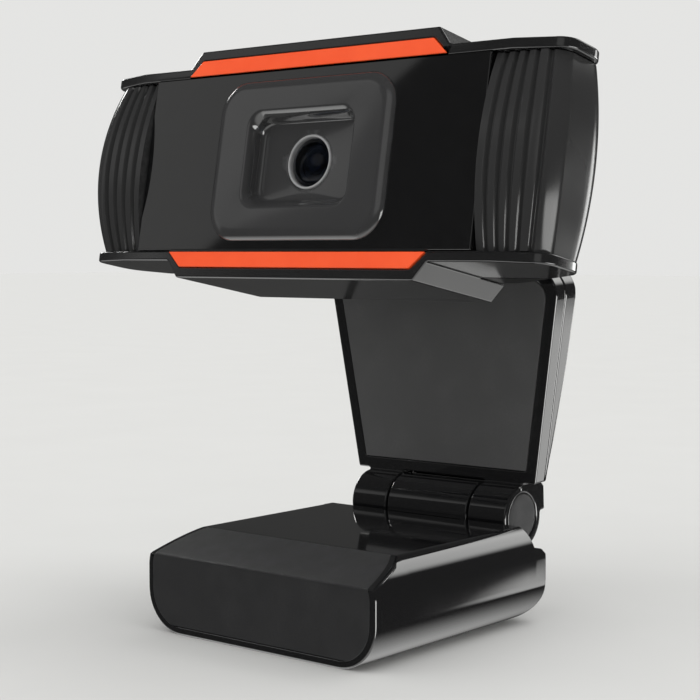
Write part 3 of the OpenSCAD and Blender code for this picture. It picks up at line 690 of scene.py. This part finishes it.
def base_housing():
    """Moulded block with its sloping front, rear wall, hinge notch, rounded lip and middle knuckle."""
    wall_d, lip_d, lip_r, ledge_z, notch_r = 35.9, 38.3, 4.5, 10.5, 5.2
    rings = [base_ring(slope_d * i / 12, 0, slope_height(slope_d * i / 12)) for i in range(13)]
    rings.append(base_ring(lip_d - lip_r, 0, base_h))
    for i in range(1, 15):
        a = math.pi / 2 * i / 14
        y, low = lip_d - lip_r + lip_r * math.sin(a), lip_r - lip_r * math.cos(a)
        if y > wall_d and rings[-1][0][1] < wall_d:
            cut_low = lip_r - math.sqrt(lip_r ** 2 - (wall_d - lip_d + lip_r) ** 2)
            rings += [base_ring(wall_d, cut_low, base_h), base_ring(wall_d, cut_low, ledge_z)]
        notch = fold_at.z - math.sqrt(max(0.0, notch_r ** 2 - (fold_at.y - y) ** 2))
        rings.append(base_ring(y, low, min(base_h, ledge_z, notch) if y > wall_d else base_h))
    bm = loft(rings)
    clean_skin(bm)
    lip_starts = lip_d - lip_r + 0.1
    mark_round(bm, lambda e: e.calc_face_angle(0) > 0.3 and max(v.co.y for v in e.verts) < lip_starts)
    piece = add_piece(
        "base_housing_moulding", bm, BASE, "base", "gloss_black", gloss_black, "base_housing")
    sharp_by_angle(piece, 14)
    soften(piece, 0.28, 3, marked=True)

    hinge_parts(wall_d)
    for cutter in housing_cutters():
        apply_cut(piece, cutter)


def hinge_parts(wall_d):
    """The housing's middle knuckle on the fold hinge, and the web that joins it to the rear wall."""
    half = box_mm("fold_friction_sleeve").x / 2
    web = [(wall_d - 0.6, 9.7), (wall_d - 0.6, base_h), (36.9, base_h),
           (37.6, 12), (38.7, 10.4), (38.3, 9.7)]
    web_piece = add_piece(
        "hinge_web", prism(web, -half, half, "X"), BASE, "base", "gloss_black", gloss_black)
    sharp_by_angle(web_piece, 20)
    soften(web_piece, 0.12, 2)
    outer, inner = 4.63, 2.62
    profile = [(inner, -half), (outer - 0.2, -half), (outer - 0.05, -half + 0.06), (outer, -half + 0.2),
               (outer, half - 0.2), (outer - 0.05, half - 0.06), (outer - 0.2, half), (inner, half)]
    bm = lathe(profile, "X", (0, fold_at.y, fold_at.z), 96)
    knuckle = add_piece("hinge_middle_knuckle", bm, BASE, "base", "gloss_black", gloss_black)
    sharp_by_angle(knuckle, 50)
    flat_faces(knuckle)


def housing_cutters():
    """Blocks for the well that the bottom cover sits in and for the hollow above it."""
    cover_low, cover_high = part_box("base_bottom_cover")
    low, high = BASE.inverted() @ cover_low, BASE.inverted() @ cover_high
    gap, floor_gap, side_reach, end_step, hollow_top = 0.1, 0.05, 2, 0.4, 10.2
    around = Vector((gap, gap, gap))
    well_low, well_high = low - around, high + around
    well_low.z = -1
    well = box_cutter("bottom_well", well_low, well_high)
    hollow_low = (low.x - side_reach, low.y + end_step, high.z + floor_gap)
    hollow_high = (high.x + side_reach, high.y - end_step, hollow_top)
    hollow = box_cutter("inner_hollow", hollow_low, hollow_high)
    return well, hollow


def box_cutter(name, low, high):
    """A block in the base's frame, used only to cut a hollow."""
    bm = bmesh.new()
    bmesh.ops.create_cube(bm, size=1)
    for v in bm.verts:
        v.co = Vector([low[i] + (v.co[i] + 0.5) * (high[i] - low[i]) for i in range(3)])
    mesh = bpy.data.meshes.new(name)
    bm.to_mesh(mesh)
    bm.free()
    mesh.transform(BASE)
    obj = bpy.data.objects.new(name, mesh)
    bpy.context.scene.collection.objects.link(obj)
    return obj


def apply_cut(piece, cutter):
    """Cuts a block out of a piece, with the piece's own modifiers applied first."""
    cut = piece.modifiers.new("cut", "BOOLEAN")
    cut.operation, cut.solver, cut.object = "DIFFERENCE", "EXACT", cutter
    baked = bpy.data.meshes.new_from_object(piece.evaluated_get(bpy.context.evaluated_depsgraph_get()))
    piece.modifiers.clear()
    piece.data = baked
    bpy.data.objects.remove(cutter)


def base_front_pad():
    """Bent matt pad over the front face and the sloping strip, a hair proud of the housing."""
    thick, proud, bend_r, steps = 0.8, 0.08, 0.45, 12
    rise = math.atan2(base_h - front_h, slope_d)
    turn = math.pi / 2 - rise
    tangent = bend_r * math.tan(turn / 2)
    inner = (thick, front_h - thick * math.tan(turn / 2))
    stations = []  # half width, outer point, inner point
    for i in range(steps + 1):
        a = math.pi / 2 * i / steps
        r = low_r - border
        z = low_r - r * math.cos(a)
        stations.append((base_half - low_r + r * math.sin(a), (-proud, z), (thick, z)))
    for i in range(1, steps):
        z = low_r + (front_h - tangent - low_r) * i / steps
        stations.append((side_width(z) - border, (-proud, z), (thick, min(z, inner[1]))))
    for i in range(9):
        a = turn * i / 8
        centre = (bend_r - proud, front_h - tangent)
        point = (centre[0] - bend_r * math.cos(a), centre[1] + bend_r * math.sin(a))
        stations.append((side_width(min(point[1], front_h)) - border, point, inner))
    lift = (-math.sin(rise) * proud, math.cos(rise) * proud)
    sink = (math.sin(rise) * thick, -math.cos(rise) * thick)
    for i in range(1, steps + 1):
        y = tangent + (slope_d - 0.05 - tangent) * i / steps
        z = slope_height(y)
        stations.append((side_width(z) - border, (y + lift[0], z + lift[1]), (y + sink[0], z + sink[1])))
    rings = [[(-w, *front), (w, *front), (w, *back), (-w, *back)] for w, front, back in stations]
    bm = loft(rings)
    clean_skin(bm)
    fronts = {tuple(round(c, 3) for c in p) for ring in rings for p in ring[:2]}
    mark_round(bm, lambda e: e.calc_face_angle(0) > 0.7
               and all(tuple(round(c, 3) for c in v.co) in fronts for v in e.verts))
    # The front pad takes the darker copy of the pad material: painted shade.
    piece = add_piece(
        "base_front_pad_cover", bm, BASE, "base", "pad_grey", shaded_front_pad_grey, "base_front_pad")
    sharp_by_angle(piece, 30)
    soften(piece, 0.18, 3, marked=True)


def base():
    """Everything that rides the base."""
    base_housing()
    base_front_pad()
    moulding("base_bottom_cover", "base_bottom_plate", "base", "satin_black", satin_black, 0.1)
    moulding("base_bottom_pad", "base_foot_pad", "base", "foot_rubber", foot_rubber, 0.15)


def bracket():
    """The arm between the tilt hinge and the swivel."""
    moulding("swivel_bracket", "swivel_bracket_moulding", "bracket", "satin_black", satin_black, 0.2)


# ---------------------------------------------------------------- kept CAD nodes

def finish_cad_nodes():
    """Materials for the CAD nodes whose own shape is shown."""
    finishes = {
        steel: ("base_cover_screws", "neck_screws", "fold_pin", "tilt_pin", "board_screws",
                "rear_cover_screws", "swivel_stud", "swivel_washer"),
        sleeve_brass: ("fold_friction_sleeve", "tilt_friction_sleeve"),
        satin_black: ("lens_barrel", "lens_holder"),
        filter_glass: ("ir_filter",), chip_dark: ("image_sensor",), board_green: ("camera_board",),
        mic_metal: ("microphone",), connector_white: ("cable_connector",),
    }
    for material, names in finishes.items():
        for name in names:
            for material_slot in frame["nodes"][name].material_slots:
                material_slot.material = material


# ---------------------------------------------------------------- stage, light and camera

def floor():
    """Plain pale floor."""
    half = 3.0
    bm = bmesh.new()
    bm.faces.new([bm.verts.new((x * half, y * half, 0)) for x, y in ((-1, -1), (1, -1), (1, 1), (-1, 1))])
    mesh = bpy.data.meshes.new("floor")
    bm.to_mesh(mesh)
    bm.free()
    obj = bpy.data.objects.new("floor", mesh)
    bpy.context.scene.collection.objects.link(obj)
    f = Finish("floor_pale", (0.60, 0.60, 0.592), 0.8, Specular_IOR_Level=0.0)
    f.colour(f.span(f.noise(25, 3), 0.3, 0.7, 0, 1), (0.605, 0.605, 0.597), (0.595, 0.595, 0.587))
    f.bump(f.noise(2, 2), 0.01, 0.3)
    mesh.materials.append(f.material)
    obj.visible_glossy = False


def soft_sun(name, towards, angle, energy):
    """A very wide sun, which lights the scene softly and evenly and isn't itself reflected."""
    light = bpy.data.lights.new(name, "SUN")
    light.energy, light.angle = energy, math.radians(angle)
    obj = bpy.data.objects.new(name, light)
    obj.rotation_euler = Vector(towards).to_track_quat("Z", "Y").to_euler()
    obj.visible_glossy = False
    bpy.context.scene.collection.objects.link(obj)


def room(tree):
    """What polished surfaces reflect: a dark studio with a few soft boxes, as a brightness."""
    direction = tree.nodes.new("ShaderNodeTexCoord").outputs["Generated"]

    def panel(axis, low, high, weight):
        """A soft box round a direction: its brightness rises as the cosine to it goes from low to high."""
        towards = tree.nodes.new("ShaderNodeVectorMath")
        towards.operation = "DOT_PRODUCT"
        towards.inputs[1].default_value = Vector(axis).normalized()
        tree.links.new(direction, towards.inputs[0])
        fade = tree.nodes.new("ShaderNodeMapRange")
        fade.interpolation_type = "SMOOTHSTEP"
        for label, number in zip(RANGE_SOCKETS, (low, high, 0, weight)):
            fade.inputs[label].default_value = number
        tree.links.new(towards.outputs["Value"], fade.inputs["Value"])
        return fade.outputs["Result"]

    def combine(how, a, b):
        node = tree.nodes.new("ShaderNodeMath")
        node.operation = how
        for socket, value in zip(node.inputs, (a, b)):
            if isinstance(value, float):
                socket.default_value = value
            else:
                tree.links.new(value, socket)
        return node.outputs["Value"]

    # wide wall at the left front, whose straight edge crosses the face panel in a diagonal
    straight_edge = panel((-0.473, 0.699, 0.537), -0.003, 0.003, 0.28)
    wall = combine("MULTIPLY", straight_edge, panel((0, -1, 0), 0.42, 0.58, 1.0))
    total = combine("MULTIPLY", wall, panel((0, 0, -1), -0.56, -0.44, 1.0))
    dark_room = 0.05
    total = combine("ADD", total, dark_room)
    # wall at the right, below eye level: wedges of light on the lower ends of the ribs
    low_right = combine("MULTIPLY", panel((1, 0, 0), 0.80, 0.86, 5.0), panel((0, 0, -1), 0.05, 0.13, 1.0))
    total = combine("ADD", total, low_right)
    for box in (
        panel((0.30, 0.95, -0.08), 0.975, 0.99, 5.0),  # behind: outlines on the right
        panel((0.47, 0.85, -0.25), 0.9945, 0.998, 1.6),  # low behind right: flank of the neck
        panel((0.20, 0.80, 0.56), 0.94, 0.992, 1.9),  # high behind right: top corner of the base
        panel((-0.66, -0.34, -0.67), 0.93, 0.98, 0.6),  # low left: upper wall of the lens opening
        panel((0.15, -0.90, 0.40), 0.90, 0.97, 0.3),  # front: left side of the lens opening
        panel((0, 0, -1), 0.35, 0.75, 0.9),  # table
        panel((-0.88, 0.20, 0.43), 0.988, 0.995, 14.0),  # lamp on the left: highlight in the lens
    ):
        total = combine("ADD", total, box)
    return total


def light():
    """Two wide soft suns, an even pale surround, and soft boxes that only show in reflections."""
    world = bpy.data.worlds.new("room")
    bpy.context.scene.world = world
    world.use_nodes = True
    tree = world.node_tree
    tree.nodes.clear()
    backdrop, fill, reflected = (tree.nodes.new("ShaderNodeBackground") for _ in range(3))
    for node, strength in ((backdrop, 0.78), (fill, 0.85), (reflected, 1.0)):
        node.inputs["Color"].default_value = (1.0, 1.0, 0.985, 1)
        node.inputs["Strength"].default_value = strength
    tree.links.new(room(tree), reflected.inputs["Strength"])
    ray = tree.nodes.new("ShaderNodeLightPath")
    shown = fill
    for kind, other in (("Is Camera Ray", backdrop), ("Is Glossy Ray", reflected)):
        mix = tree.nodes.new("ShaderNodeMixShader")
        tree.links.new(ray.outputs[kind], mix.inputs["Fac"])
        tree.links.new(shown.outputs[0], mix.inputs[1])
        tree.links.new(other.outputs[0], mix.inputs[2])
        shown = mix
    tree.links.new(shown.outputs[0], tree.nodes.new("ShaderNodeOutputWorld").inputs["Surface"])
    soft_sun("overhead", (0.3, 0.3, 1.0), 50, 1.1)
    soft_sun("front", (-0.3, -0.8, 0.6), 60, 0.6)


def camera():
    """The photograph's viewpoint, in metres and degrees."""
    data = bpy.data.cameras.new("view")
    data.sensor_width = 36
    data.lens = 83.22
    data.clip_start, data.clip_end = 0.01, 20
    obj = bpy.data.objects.new("view", data)
    obj.location = (0.14186, -0.17658, 0.05186)
    obj.rotation_euler = (math.radians(86.54), 0, math.radians(39.52))
    bpy.context.scene.collection.objects.link(obj)
    bpy.context.scene.camera = obj
    bpy.context.scene.view_settings.view_transform = "Standard"


camera()
head()
neck()
bracket()
base()
finish_cad_nodes()
floor()
light()
